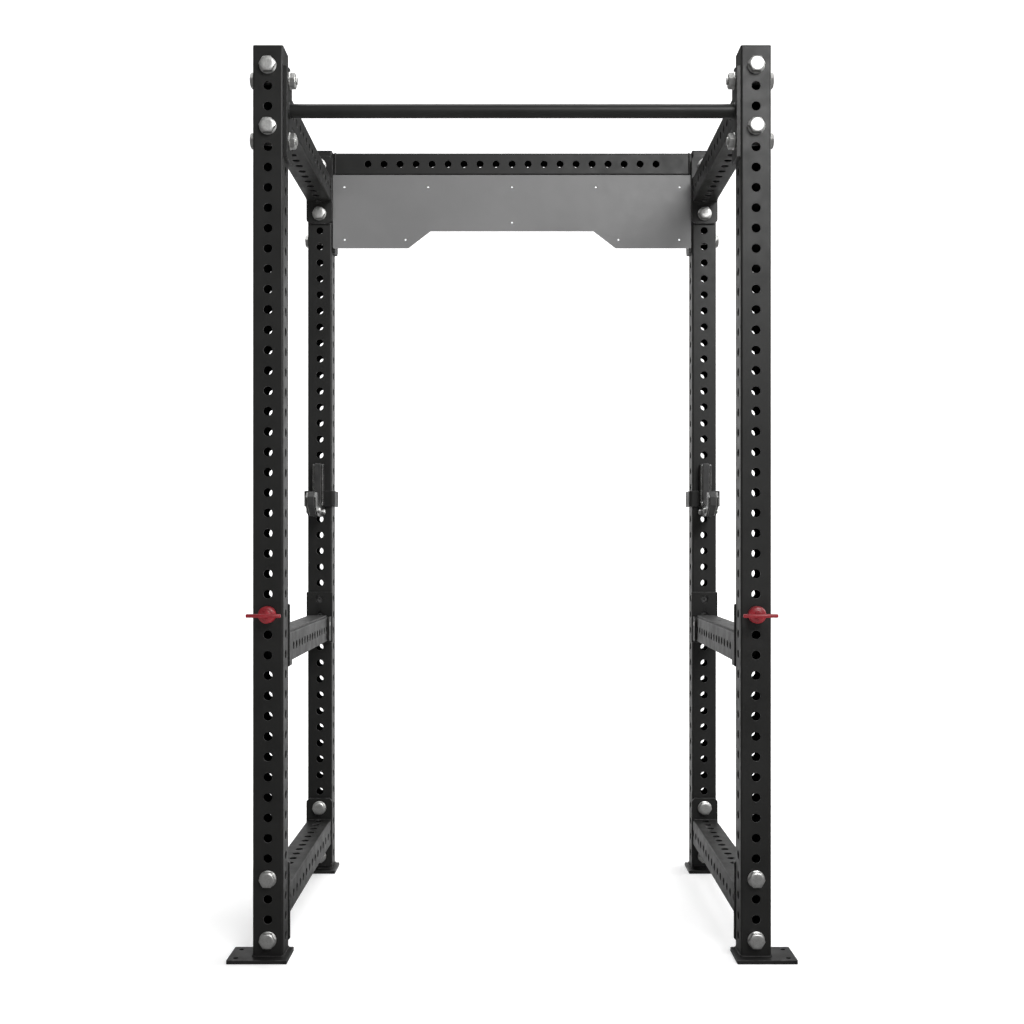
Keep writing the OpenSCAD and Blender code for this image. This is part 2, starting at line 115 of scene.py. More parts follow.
def lathe(bm, profile, matrix, n=64):
    """Profile points (radius, height) turned about the local Z axis; a radius of 0 closes the end."""
    rings = []
    for r, z in profile:
        points = [(0, 0)] if r < 1e-6 else circle(0, 0, r, n)
        rings.append([bm.verts.new(matrix @ Vector((x, y, z))) for x, y in points])
    for a, b in zip(rings, rings[1:]):
        for i in range(n):
            j = (i + 1) % n
            if len(a) == 1 and len(b) == 1:
                continue
            if len(a) == 1:
                bm.faces.new([a[0], b[j], b[i]])
            elif len(b) == 1:
                bm.faces.new([a[i], a[j], b[0]])
            else:
                bm.faces.new([a[i], a[j], b[j], b[i]])


def rounded_box(bm, lo, hi, bevel=0.8, segments=3, matrix=None):
    part = bmesh.new()
    bmesh.ops.create_cube(part, size=1)
    lo, hi = Vector(lo), Vector(hi)
    for v in part.verts:
        v.co = Vector([(lo[i] + hi[i]) / 2 + v.co[i] * (hi[i] - lo[i]) for i in range(3)])
    bmesh.ops.bevel(part, geom=part.edges[:], offset=bevel, segments=segments, profile=0.5, affect="EDGES")
    merge(bm, part, matrix)


def merge(bm, part, matrix=None):
    if matrix is not None:
        bmesh.ops.transform(part, matrix=matrix, verts=part.verts[:])
    me = bpy.data.meshes.new("part")
    part.to_mesh(me)
    part.free()
    bm.from_mesh(me)
    bpy.data.meshes.remove(me)


def fillet(points, radii, steps=6):
    """A closed outline with its corners rounded."""
    out = []
    n = len(points)
    for i, p in enumerate(points):
        r = radii[i] if isinstance(radii, (list, tuple)) else radii
        p = Vector(p)
        a, b = Vector(points[i - 1]) - p, Vector(points[(i + 1) % n]) - p
        if r <= 0 or a.length < 1e-6 or b.length < 1e-6:
            out.append(tuple(p))
            continue
        a_hat, b_hat = a.normalized(), b.normalized()
        angle = a_hat.angle(b_hat)
        cut = min(r / math.tan(angle / 2), a.length * 0.49, b.length * 0.49)
        r = cut * math.tan(angle / 2)
        centre = p + (a_hat + b_hat).normalized() * (r / math.sin(angle / 2))
        start, end = p + a_hat * cut - centre, p + b_hat * cut - centre
        sweep = start.angle_signed(end)
        for k in range(steps + 1):
            turn = -sweep * k / steps
            c, s = math.cos(turn), math.sin(turn)
            out.append(tuple(centre + Vector((start.x * c - start.y * s, start.x * s + start.y * c))))
    return out


def plate(bm, outline, holes, thick, matrix, bevel=0.7):
    """A flat plate with eased edges and round holes, centred on the local z = 0 plane."""
    cu = bpy.data.curves.new("outline", "CURVE")
    cu.dimensions = "2D"
    cu.fill_mode = "BOTH"
    cu.extrude = (thick / 2 - bevel) * MM
    cu.bevel_depth = bevel * MM
    cu.bevel_resolution = 2
    cu.offset = -bevel * MM
    for pts in [outline] + [circle(*h) if len(h) == 3 else h for h in holes]:
        sp = cu.splines.new("POLY")
        sp.points.add(len(pts) - 1)
        for q, p in zip(sp.points, pts):
            q.co = (p[0] * MM, p[1] * MM, 0, 1)
        sp.use_cyclic_u = True
    ob = bpy.data.objects.new("outline", cu)
    bpy.context.scene.collection.objects.link(ob)
    dg = bpy.context.evaluated_depsgraph_get()
    me = bpy.data.meshes.new_from_object(ob.evaluated_get(dg))
    bpy.data.objects.remove(ob)
    bpy.data.curves.remove(cu)
    part = bmesh.new()
    part.from_mesh(me)
    bpy.data.meshes.remove(me)
    bmesh.ops.transform(part, matrix=Matrix.Scale(1 / MM, 4), verts=part.verts[:])
    bmesh.ops.remove_doubles(part, verts=part.verts[:], dist=0.001)
    merge(bm, part, matrix)


def hexagon(bm, af, h, matrix, phase=0.0, washer=0.8, bore=0.0, n=60, skirt=0.0):
    """Hexagon with turned chamfers, on a round skirt if one is given; corners on the local X axis.

    The bearing face is at z = 0 and the outer face at z = h."""
    crown = af * (0.46 if skirt else 0.485)
    corner = af / math.sqrt(3) * 0.985
    side, half_side = math.radians(60), math.radians(30)
    lift = math.tan(math.radians(28))
    rows = []

    def radius(i):
        a = (2 * math.pi * i / n + half_side) % side - half_side
        return min(af / 2 / math.cos(half_side - abs(a)), corner)

    def ring(fn):
        out = []
        for i in range(n):
            r, z = fn(i)
            a = 2 * math.pi * i / n + phase
            out.append(bm.verts.new(matrix @ Vector((r * math.cos(a), r * math.sin(a), z))))
        return out

    if skirt:
        rim = ((skirt - 0.5, 0), (skirt, 0.5), (skirt, SKIRT_T - 1.2), (skirt - 0.7, SKIRT_T - 0.5))
        for point in rim:
            rows.append(ring(lambda i: point))
        rows.append(ring(lambda i: (radius(i) + 0.5, SKIRT_T)))
        rows.append(ring(lambda i: (radius(i), SKIRT_T + 0.5)))
    else:
        rows.append(ring(lambda i: (crown, 0)))
        rows.append(ring(lambda i: (crown, washer)))
        rows.append(ring(lambda i: (radius(i), washer + (radius(i) - crown) * lift)))
    rows.append(ring(lambda i: (radius(i), h - (radius(i) - crown) * lift)))
    rows.append(ring(lambda i: (crown, h)))
    if bore:
        rows.append(ring(lambda i: (bore + 1.2, h)))
        rows.append(ring(lambda i: (bore, h - 1.0)))
    else:
        rows.append(ring(lambda i: (crown - 0.7, h + 0.25)))
        rows.append(ring(lambda i: (crown * 0.6, h + 0.3)))
    for a, b in zip(rows, rows[1:]):
        for i in range(n):
            j = (i + 1) % n
            bm.faces.new([a[i], a[j], b[j], b[i]])
    if not bore:
        bm.faces.new(rows[-1])


def thread_end(bm, r, z0, z1, matrix, pitch=2.2):
    """The end of a threaded shank, from z0 to z1, with a chamfered tip."""
    profile = [(r * 0.9, z0)]
    z = z0
    while z + pitch < z1 - 1.2:
        for share, up in ((0.9, 0.15), (1, 0.5), (1, 0.62), (0.9, 0.97)):
            profile.append((r * share, z + up * pitch))
        z += pitch
    profile += [(r * 0.97, z + 0.3), (r * 0.97, z1 - 1.4), (r * 0.84, z1), (0, z1)]
    lathe(bm, profile, matrix, 40)


def bead(bm, path, r, closed=True, step=1.5, seed=1):
    """A weld bead along a path: overlapping ripples of slightly uneven width."""
    rnd = random.Random(seed)
    pts = [Vector(p) for p in path]
    if closed:
        pts.append(pts[0])
    dense = []
    for a, b in zip(pts, pts[1:]):
        count = max(1, int((b - a).length / step))
        dense += [a.lerp(b, i / count) for i in range(count)]
    if not closed:
        dense.append(pts[-1])
    n = len(dense)
    sides = 8
    around = [2 * math.pi * k / sides for k in range(sides)]
    ripple = 4.4
    rings = []
    travel = 0.0
    wob = [rnd.uniform(-1, 1) for _ in range(n)]
    for i, p in enumerate(dense):
        before = dense[i - 1] if (closed or i) else p
        after = dense[(i + 1) % n] if (closed or i < n - 1) else p
        t = (after - before).normalized()
        up = Vector((0, 0, 1)) if abs(t.z) < 0.9 else Vector((1, 0, 0))
        u = t.cross(up).normalized()
        v = u.cross(t).normalized()
        travel += (p - before).length if i else 0
        rr = r * (1 + 0.13 * math.sin(travel * 2 * math.pi / ripple) + 0.05 * wob[i])
        if not closed and i in (0, n - 1):
            rr *= 0.45
        rings.append([bm.verts.new(p + (u * math.cos(a) + v * math.sin(a)) * rr) for a in around])
    last = n if closed else n - 1
    for i in range(last):
        a, b = rings[i], rings[(i + 1) % n]
        for k in range(sides):
            m = (k + 1) % sides
            bm.faces.new([a[k], a[m], b[m], b[k]])
    if not closed:
        bm.faces.new(rings[0][::-1])
        bm.faces.new(rings[-1])


def tube_path(w, h, r, axis_at, steps=5):
    """Points round a rounded rectangle in the local XY plane of matrix axis_at."""
    pts = fillet([(-w / 2, -h / 2), (w / 2, -h / 2), (w / 2, h / 2), (-w / 2, h / 2)], r, steps)
    return [axis_at @ Vector((p[0], p[1], 0)) for p in pts]


# ---------------------------------------------------------------- perforated tubes
CELL_STEPS, CORNER_STEPS, HOLE_EASE = 8, 5, 0.55
CELL_ANGLES = [math.radians(-135) + 2 * math.pi * k / (4 * CELL_STEPS) for k in range(4 * CELL_STEPS)]
CELL_RING = [(math.cos(a), math.sin(a)) for a in CELL_ANGLES]
# radius and depth of the loops down a hole: its eased edge, then the bore through the wall
BORE = ((HOLE_R + HOLE_EASE, 0), (HOLE_R + HOLE_EASE * 0.3, HOLE_EASE * 0.3), (HOLE_R, HOLE_EASE), (HOLE_R, WALL))


class TubeSide:
    """One side of a tube along Z, drawn facing +X and then turned: its walls and the corner after them.

    d is the face's distance from the axis and a the half-width of its flat part. Depth is measured from the
    outer face; inward faces look into the tube and take the second material, a darker and duller copy of
    the coat that paints in the shade inside the tube."""

    def __init__(self, bm, d, a, turn):
        self.bm, self.d, self.a = bm, d, a
        self.cs, self.sn = math.cos(turn), math.sin(turn)

    def quad(self, points, inward):
        placed = [(x * self.cs - y * self.sn, x * self.sn + y * self.cs, z) for x, y, z in points]
        verts = [self.bm.verts.new(p) for p in placed]
        # inward faces get material 1, the painted-shade copy of the coat
        self.bm.faces.new(verts[::-1] if inward else verts).material_index = int(inward)

    def band(self, outer, inner, inward):
        for k in range(len(outer)):
            m = (k + 1) % len(outer)
            self.quad([outer[k], outer[m], inner[m], inner[k]], inward)

    def hole_loop(self, r, depth, zc):
        return [(self.d - depth, x * r, zc + y * r) for x, y in CELL_RING]

    def cell(self, depth, z0, pitch, inward):
        """A stretch of wall with a hole in its middle. The outer wall's cell brings the bore with it."""
        a, z1 = self.a, z0 + pitch
        zc = (z0 + z1) / 2
        steps = [k / CELL_STEPS for k in range(CELL_STEPS)]
        rim = [(-a + 2 * a * u, z0) for u in steps] + [(a, z0 + pitch * u) for u in steps]
        rim += [(a - 2 * a * u, z1) for u in steps] + [(-a, z1 - pitch * u) for u in steps]
        rim = [(self.d - depth, s, z) for s, z in rim]
        self.band(rim, self.hole_loop(HOLE_R if inward else HOLE_R + HOLE_EASE, depth, zc), inward)
        if not inward:
            loops = [self.hole_loop(r, deep, zc) for r, deep in BORE]
            for upper, lower in zip(loops, loops[1:]):
                self.band(upper, lower, False)

    def cuts(self, count):
        edges = [-self.a + 2 * self.a * k / count for k in range(count + 1)]
        return zip(edges, edges[1:])

    def strip(self, depth, z0, z1, count, inward):
        for s0, s1 in self.cuts(count):
            self.quad([(self.d - depth, s, z) for s, z in ((s0, z0), (s1, z0), (s1, z1), (s0, z1))], inward)

    def corner_point(self, k, r, z):
        turn = math.pi / 2 * k / CORNER_STEPS
        return (self.d - TUBE_R + r * math.cos(turn), self.a + r * math.sin(turn), z)

    def corner(self, depth, z0, z1, inward):
        r = TUBE_R - depth
        for k in range(CORNER_STEPS):
            ends = ((k, z0), (k + 1, z0), (k + 1, z1), (k, z1))
            self.quad([self.corner_point(i, r, z) for i, z in ends], inward)

    def end(self, z, count, far):
        """The cut end of the wall."""
        for s0, s1 in self.cuts(count):
            self.quad([(self.d - depth, s, z) for depth, s in ((0, s0), (WALL, s0), (WALL, s1), (0, s1))], far)
        inner = TUBE_R - WALL
        for k in range(CORNER_STEPS):
            ends = ((k, TUBE_R), (k, inner), (k + 1, inner), (k + 1, TUBE_R))
            self.quad([self.corner_point(i, r, z) for i, r in ends], far)


def cell_levels(centres, pitch, length):
    """Heights of the cross rows: the tube's ends, and each hole's cell cut into steps."""
    levels = [0.0]
    for lo, hi in [(c - pitch / 2, c + pitch / 2) for c in centres]:
        for i in range(CELL_STEPS + 1):
            z = lo + (hi - lo) * i / CELL_STEPS
            if z - levels[-1] > 1e-4:
                levels.append(z)
    if length - levels[-1] > 1e-4:
        levels.append(length)
    return levels


def perf_tube(length, w, h, centres, faces, pitch=PITCH, side_centres=None):
    """A square tube along local Z with round holes at the given heights; faces names the pierced sides.

    side_centres gives the X faces their own holes, which have to start on a row of the others' cells."""
    bm = bmesh.new()
    levels = cell_levels(centres, pitch, length)
    starts = {
        "X": {round(c - pitch / 2, 3) for c in side_centres or centres},
        "Y": {round(c - pitch / 2, 3) for c in centres},
    }
    for turn, (name, across, wide) in enumerate((("+X", w, h), ("+Y", h, w), ("-X", w, h), ("-Y", h, w))):
        side = TubeSide(bm, across / 2, wide / 2 - TUBE_R, turn * math.pi / 2)
        holed = name in faces
        count = CELL_STEPS if holed else 1
        for depth, inward in ((0.0, False), (WALL, True)):
            i = 0
            while i < len(levels) - 1:
                if holed and round(levels[i], 3) in starts[name[1]]:
                    side.cell(depth, levels[i], pitch, inward)
                    i += CELL_STEPS
                else:
                    side.strip(depth, levels[i], levels[i + 1], count, inward)
                    i += 1
            for z0, z1 in zip(levels, levels[1:]):
                side.corner(depth, z0, z1, inward)
        side.end(0.0, count, False)
        side.end(length, count, True)
    bmesh.ops.remove_doubles(bm, verts=bm.verts[:], dist=0.002)
    return bm


# ---------------------------------------------------------------- materials
def new_material(name):
    m = bpy.data.materials.new(name)
    m.use_nodes = True
    nt = m.node_tree
    nt.nodes.clear()
    out = nt.nodes.new("ShaderNodeOutputMaterial")
    p = nt.nodes.new("ShaderNodeBsdfPrincipled")
    nt.links.new(p.outputs["BSDF"], out.inputs["Surface"])
    return m, nt, p


def noise(nt, scale, detail=3.0, rough=0.5):
    n = nt.nodes.new("ShaderNodeTexNoise")
    n.inputs["Scale"].default_value = scale
    n.inputs["Detail"].default_value = detail
    n.inputs["Roughness"].default_value = rough
    nt.links.new(nt.nodes.new("ShaderNodeTexCoord").outputs["Object"], n.inputs["Vector"])
    return n.outputs["Fac"]


def ramp(nt, fac, stops):
    r = nt.nodes.new("ShaderNodeValToRGB")
    el = r.color_ramp.elements
    while len(el) < len(stops):
        el.new(0.5)
    for e, (pos, col) in zip(el, stops):
        e.position = pos
        e.color = (*col, 1)
    nt.links.new(fac, r.inputs["Fac"])
    return r.outputs["Color"]


def remap(nt, fac, lo, hi, a=0.3, b=0.7):
    r = nt.nodes.new("ShaderNodeMapRange")
    r.inputs["From Min"].default_value = a
    r.inputs["From Max"].default_value = b
    r.inputs["To Min"].default_value = lo
    r.inputs["To Max"].default_value = hi
    nt.links.new(fac, r.inputs["Value"])
    return r.outputs["Result"]


def bump(nt, height, strength, distance, below=None):
    b = nt.nodes.new("ShaderNodeBump")
    b.inputs["Strength"].default_value = strength
    b.inputs["Distance"].default_value = distance
    nt.links.new(height, b.inputs["Height"])
    if below is not None:
        nt.links.new(below, b.inputs["Normal"])
    return b.outputs["Normal"]


def worn(nt, low):
    """The wear along outer edges, broken up by noise."""
    edge = nt.nodes.new("ShaderNodeAttribute")
    edge.attribute_name = "wear"
    m = nt.nodes.new("ShaderNodeMath")
    m.operation = "MULTIPLY"
    nt.links.new(edge.outputs["Fac"], m.inputs[0])
    nt.links.new(remap(nt, noise(nt, 70.0, 5.0, 0.65), 0.0, 1.0, low, 0.66), m.inputs[1])
    return m.outputs["Value"]


def mix(nt, fac, a, b):
    """a and b are sockets or colours."""
    m = nt.nodes.new("ShaderNodeMix")
    m.data_type = "RGBA"
    nt.links.new(fac, m.inputs["Factor"])
    for key, v in (("A", a), ("B", b)):
        socket = [i for i in m.inputs if i.name == key and i.type == "RGBA"][0]
        if isinstance(v, tuple):
            socket.default_value = (*v, 1)
        else:
            nt.links.new(v, socket)
    return [o for o in m.outputs if o.type == "RGBA"][0]


def powder_coat(name, dark, light, rough, peel=0.25, bare=(0.10, 0.10, 0.10), spec=0.4, low=0.42):
    """Powder coat: orange peel, fine speckle, slow changes of gloss and tone, rubbed edges."""
    m, nt, p = new_material(name)
    slow = noise(nt, 6.0, 4.0)
    coat = ramp(nt, slow, [(0.3, dark), (0.7, light)])
    nt.links.new(mix(nt, worn(nt, low), coat, bare), p.inputs["Base Color"])
    nt.links.new(remap(nt, noise(nt, 28.0, 5.0), rough - 0.05, rough + 0.06), p.inputs["Roughness"])
    under = bump(nt, noise(nt, 520.0, 2.0), peel, 0.0004)
    nt.links.new(bump(nt, noise(nt, 2600.0, 1.0), peel * 0.5, 0.0001, under), p.inputs["Normal"])
    p.inputs["Specular IOR Level"].default_value = spec
    return m


def zinc(name, tone, rough):
    """Satin zinc plate: faint turning marks, cloudy tone and scuffs."""
    m, nt, p = new_material(name)
    stops = [(0.3, (tone * 0.82, tone * 0.82, tone * 0.80)), (0.7, (tone * 1.08, tone * 1.08, tone * 1.06))]
    nt.links.new(ramp(nt, noise(nt, 300.0, 4.0, 0.6), stops), p.inputs["Base Color"])
    p.inputs["Metallic"].default_value = 1.0
    nt.links.new(remap(nt, noise(nt, 240.0, 4.0), rough - 0.07, rough + 0.1), p.inputs["Roughness"])
    nt.links.new(bump(nt, noise(nt, 700.0, 3.0), 0.2, 0.0002), p.inputs["Normal"])
    return m


def plastic(name, dark, light, rough, scale=60.0, grain=0.15, coat=0.0):
    m, nt, p = new_material(name)
    nt.links.new(ramp(nt, noise(nt, scale, 4.0), [(0.3, dark), (0.7, light)]), p.inputs["Base Color"])
    nt.links.new(remap(nt, noise(nt, scale * 3, 5.0), rough - 0.06, rough + 0.08), p.inputs["Roughness"])
    nt.links.new(bump(nt, noise(nt, 1400.0, 2.0), grain, 0.0002), p.inputs["Normal"])
    p.inputs["Coat Weight"].default_value = coat
    p.inputs["Coat Roughness"].default_value = 0.2
    return m


DARK, LIGHT = (0.0090, 0.0090, 0.0085), (0.0130, 0.0130, 0.0124)
BLACK = powder_coat("black_powder_coat", DARK, LIGHT, 0.44, spec=0.36)
# painted shade: a darker, duller copy of the black coat for the tubes' inside walls, in place of the shade in
# there
PAINTED_SHADE_INSIDE = powder_coat("tube_inside_painted_shade", (0.0035, 0.0035, 0.0033), (0.0055, 0.0055, 0.0052), 0.7, 0.3, spec=0.12)
CUP_BLACK = powder_coat(
    "black_powder_coat_glossy",
    (0.0115, 0.0115, 0.0110),
    (0.0165, 0.0165, 0.0158),
    rough=0.19,
    peel=0.12,
    bare=(0.34, 0.34, 0.33),
    spec=1.0,
    low=0.2,
)
GREY = powder_coat("grey_powder_coat", (0.16, 0.16, 0.16), (0.18, 0.18, 0.18), 0.46, 0.2, (0.3, 0.3, 0.3))
ZINC = zinc("zinc_plate", 0.75, 0.43)
CAP = plastic("cap_plastic", (0.012, 0.012, 0.012), (0.018, 0.018, 0.018), 0.5, 40.0, 0.3)
UHMW = plastic("uhmw_black", (0.020, 0.020, 0.020), (0.030, 0.030, 0.029), 0.5, 30.0, 0.2)
RED = plastic("red_grip", (0.20, 0.0065, 0.012), (0.26, 0.0095, 0.017), 0.42, 50.0, 0.15, 0.1)


# ---------------------------------------------------------------- finished pieces
def mark_wear(bm, narrow=0.95, turn=12):
    """Face attribute 'wear': 1 on the eased outer edges, where the finish rubs through first."""
    layer = bm.faces.layers.float.new("wear")
    for f in bm.faces:
        if len(f.verts) != 4:
            continue
        longest = max(e.calc_length() for e in f.edges)
        thin = f.calc_area() / max(longest, 1e-6) < narrow
        inner = [e for e in f.edges if len(e.link_faces) == 2]
        if thin and any(e.calc_face_angle_signed(0) > math.radians(turn) for e in inner):
            f[layer] = 1.0


def piece(bm, node, slot, materials, angle=38, flat_area=25.0):
    """Turns a mesh in mm into the piece for a CAD node; faces over flat_area mm2 stay flat."""
    name = node + "_look"
    bmesh.ops.recalc_face_normals(bm, faces=bm.faces[:])
    limit = math.radians(angle)
    for f in bm.faces:
        f.smooth = flat_area is None or f.calc_area() < flat_area
    for e in bm.edges:
        if len(e.link_faces) == 2:
            e.smooth = e.calc_face_angle() < limit
    mark_wear(bm)
    bmesh.ops.transform(bm, matrix=Matrix.Scale(MM, 4), verts=bm.verts[:])
    me = bpy.data.meshes.new(name)
    bm.to_mesh(me)
    bm.free()
    ob = bpy.data.objects.new(name, me)
    bpy.context.scene.collection.objects.link(ob)
    for m in materials if isinstance(materials, (list, tuple)) else [materials]:
        me.materials.append(m)
    settle(ob, slot, node)
    return ob


def settle(ob, slot, *nodes):
    """Puts a piece on its nodes' body and in their place."""
    body = frame["nodes"][nodes[0]]["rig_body"]
    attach(ob, body)
    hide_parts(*nodes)


def copy_to_right(source, node, slot):
    """The left post's or tube's mesh again, on the right side of the cage."""
    me = source.data.copy()
    me.name = node + "_look"
    me.transform(Matrix.Translation(Vector((2 * POST_X, 0, 0)) * MM))
    ob = bpy.data.objects.new(node + "_look", me)
    bpy.context.scene.collection.objects.link(ob)
    settle(ob, slot, node)
    return ob


# uprights
def upright(y, bolt_rows):
    """The side faces swap the grid holes next to a side bolt for one hole half a step off the grid."""
    grid = sorted(row_z(k) - PLATE_T for k in range(ROWS))
    side = [row_z(k) - PLATE_T for k in range(ROWS) if min(abs(k - b) for b in bolt_rows) > 0.6]
    side += [row_z(b) - PLATE_T for b in bolt_rows]
    post_len = FRAME_H - CAP_T - PLATE_T
    bm = perf_tube(post_len, TUBE, TUBE, grid, ("+X", "-X", "+Y", "-Y"), side_centres=side)
    bmesh.ops.transform(bm, matrix=at(-POST_X, y, PLATE_T), verts=bm.verts[:])
    foot = Matrix.Translation((-POST_X, y, PLATE_T + 0.6))
    bead(bm, tube_path(TUBE + 1.4, TUBE + 1.4, TUBE_R + 0.7, foot), 2.6, seed=3)
    return bm


for where, y, bolt_rows in (("front", FRONT_Y, BAR_ROWS), ("rear", REAR_Y, REAR_ROWS)):
    post = piece(upright(y, bolt_rows), f"{where}_left_upright", "black_powder_coat", [BLACK, PAINTED_SHADE_INSIDE])
    copy_to_right(post, f"{where}_right_upright", "black_powder_coat")

# foot plates
FOOT_OUT, FOOT_IN, FOOT_FRONT = 60, 90, 30
FOOT_HOLE_R, FOOT_HOLE_IN = 6.35, 20
for node, sx, y in (
    ("front_left_foot_plate", -1, FRONT_Y),
    ("front_right_foot_plate", 1, FRONT_Y),
    ("rear_left_foot_plate", -1, REAR_Y),
    ("rear_right_foot_plate", 1, REAR_Y),
):
    x_out, x_in = sx * (POST_X + HALF + FOOT_OUT), sx * (POST_X + HALF - FOOT_IN)
    y0, y1 = y - HALF - FOOT_FRONT, y + HALF
    bm = bmesh.new()
    xs = sorted((x_out, x_in))
    outline = fillet([(xs[0], y0), (xs[1], y0), (xs[1], y1), (xs[0], y1)], 3.0, 4)
    holes = [(x_out - sx * FOOT_HOLE_IN, hy, FOOT_HOLE_R) for hy in (y0 + FOOT_HOLE_IN, y1 - FOOT_HOLE_IN)]
    plate(bm, outline, holes, PLATE_T, Matrix.Translation((0, 0, PLATE_T / 2)), 0.8)
    piece(bm, node, "black_powder_coat", BLACK)

# post top caps: a lid with a plug that fills the tube's mouth
bm = bmesh.new()
PLUG = 34.8
for x in (-POST_X, POST_X):
    for y in (FRONT_Y, REAR_Y):
        outline = fillet([(-HALF, -HALF), (HALF, -HALF), (HALF, HALF), (-HALF, HALF)], TUBE_R, 5)
        plate(bm, outline, [], CAP_T, Matrix.Translation((x, y, FRAME_H - CAP_T / 2)), 1.1)
        rounded_box(bm, (x - PLUG, y - PLUG, FRAME_H - 23), (x + PLUG, y + PLUG, FRAME_H - 2.8), 1.5)
piece(bm, "post_top_caps", "black_plastic", CAP)

# side crossmembers and their end plates
tube_len = REAR_FRONT - FRONT_BACK - 2 * PLATE_T
centres = [PITCH * (i + 0.5) - PLATE_T for i in range(15)]
END_PLATES = ((FRONT_BACK + PLATE_T / 2, 1), (REAR_FRONT - PLATE_T / 2, -1))


def crossmember(z):
    bm = perf_tube(tube_len, TUBE, TUBE, centres, ("+X", "-X", "+Y", "-Y"), pitch=31.8)
    bmesh.ops.transform(bm, matrix=at(-POST_X, FRONT_BACK + PLATE_T, z, "+Y"), verts=bm.verts[:])
    for k, (y, inward) in enumerate(END_PLATES):
        seam = at(-POST_X, y + inward * (PLATE_T / 2 + 0.5), z, "+Y")
        bead(bm, tube_path(TUBE + 1.2, TUBE + 1.2, TUBE_R + 0.6, seam), 2.4, seed=20 + k)
    return bm


def end_plates(z):
    bm = bmesh.new()
    w, h, c = HALF + EDGE_LAP, 107.0, 10.0
    pts = [(-w, -h + c), (-w + c, -h), (w - c, -h), (w, -h + c)]
    pts += [(w, h - c), (w - c, h), (-w + c, h), (-w, h - c)]
    holes = [(0, s * BOLT_RISE, HOLE_R) for s in (-1, 1)]
    for y, _ in END_PLATES:
        plate(bm, fillet(pts, 2.0, 3), holes, PLATE_T, at(-POST_X, y, z, "-Y"), 0.8)
    return bm


for level, z in (("upper", UPPER_Z), ("lower", LOWER_Z)):
    tube = piece(crossmember(z), f"{level}_left_crossmember", "black_powder_coat", [BLACK, PAINTED_SHADE_INSIDE])
    ends = piece(end_plates(z), f"{level}_left_end_plates", "black_powder_coat", BLACK)
    copy_to_right(tube, f"{level}_right_crossmember", "black_powder_coat")
    copy_to_right(ends, f"{level}_right_end_plates", "black_powder_coat")


# bolts: heads in front, nuts and thread ends behind
def bolt(bm, x, y, z, along, head_h=HEX_H, phase=0.0, turn=0.0):
    """The head's bearing face is at (x, y, z); the head points along, and the shank runs back."""
    m = at(x, y, z, along)
    hexagon(bm, HEX_AF, head_h, m @ Matrix.Rotation(turn, 4, "Z"), phase, skirt=SKIRT_R)
    lathe(bm, [(BOLT_R, 0.2), (BOLT_R, -BOLT_GRIP)], m, 40)
    thread_end(bm, BOLT_R, 0, BOLT_TAIL, m @ Matrix.Translation((0, 0, -BOLT_GRIP)) @ ALONG["-Z"])


def nut(bm, x, y, z, along, phase=0.0):
    hexagon(bm, HEX_AF, HEX_H, at(x, y, z, along), phase, bore=BOLT_R + 0.05, skirt=SKIRT_R)


turns = random.Random(11)
bolts, nuts = bmesh.new(), bmesh.new()
for sx in (-1, 1):
    for z in (UPPER_Z, LOWER_Z):
        for s in (-1, 1):
            for y, end in ((FRONT_Y - HALF, FRONT_BACK + PLATE_T), (REAR_FRONT - PLATE_T, REAR_Y + HALF)):
                x, zz = sx * POST_X, z + s * BOLT_RISE
                bolt(bolts, x, y, zz, "-Y", turn=math.radians(turns.uniform(-2, 2)))
                nut(nuts, x, end, zz, "+Y")
piece(bolts, "crossmember_bolts", "zinc_hardware", ZINC, flat_area=45)
piece(nuts, "crossmember_nuts", "zinc_hardware", ZINC, flat_area=45)


def side_fixings(y, rows_used, label):
    bolts, nuts = bmesh.new(), bmesh.new()
    quarter = math.radians(90)
    for sx, out, back in ((-1, "-X", "+X"), (1, "+X", "-X")):
        for k in rows_used:
            bolt(bolts, sx * (POST_X + HALF), y, row_z(k), out, SIDE_HEAD_H, quarter)
            nut(nuts, sx * (INNER_X - PLATE_T), y, row_z(k), back, quarter)
    piece(bolts, f"{label}_bolts", "zinc_hardware", ZINC, flat_area=45)
    piece(nuts, f"{label}_nuts", "zinc_hardware", ZINC, flat_area=45)


side_fixings(FRONT_Y, BAR_ROWS, "pull_up_bar")
side_fixings(REAR_Y, REAR_ROWS, "rear_crossmember")

# pull-up bar
BAR_R, BAR_BORE, BAR_Z = 17.5, 14.5, row_z(BAR_ROW)
end_x = INNER_X - PLATE_T
bm = bmesh.new()
profile = [(BAR_BORE, 0), (BAR_R, 0), (BAR_R, 2 * end_x), (BAR_BORE, 2 * end_x)]
lathe(bm, profile, at(-end_x, FRONT_Y, BAR_Z, "+X"), 96)
for sx in (-1, 1):
    m = at(sx * (end_x - 0.6), FRONT_Y, BAR_Z, "+X")
    seam = [m @ Vector((x, y, 0)) for x, y in circle(0, 0, 18.2, 90)]
    bead(bm, seam, 2.4, step=1.2, seed=40 + sx)
piece(bm, "pull_up_bar", "black_powder_coat", BLACK, flat_area=None)


def side_plates(y0, y1, z0, z1, cut, rows_used, hole_y):
    bm = bmesh.new()
    for sx in (-1, 1):
        x = sx * (INNER_X - PLATE_T / 2)
        pts = fillet([(y0, z0), (y1 - cut, z0), (y1, z0 + cut), (y1, z1), (y0, z1)], 2.0, 3)
        m = Matrix.Translation((x, 0, 0)) @ YZ
        plate(bm, pts, [(hole_y, row_z(k), HOLE_R) for k in rows_used], PLATE_T, m, 0.8)
    return bm


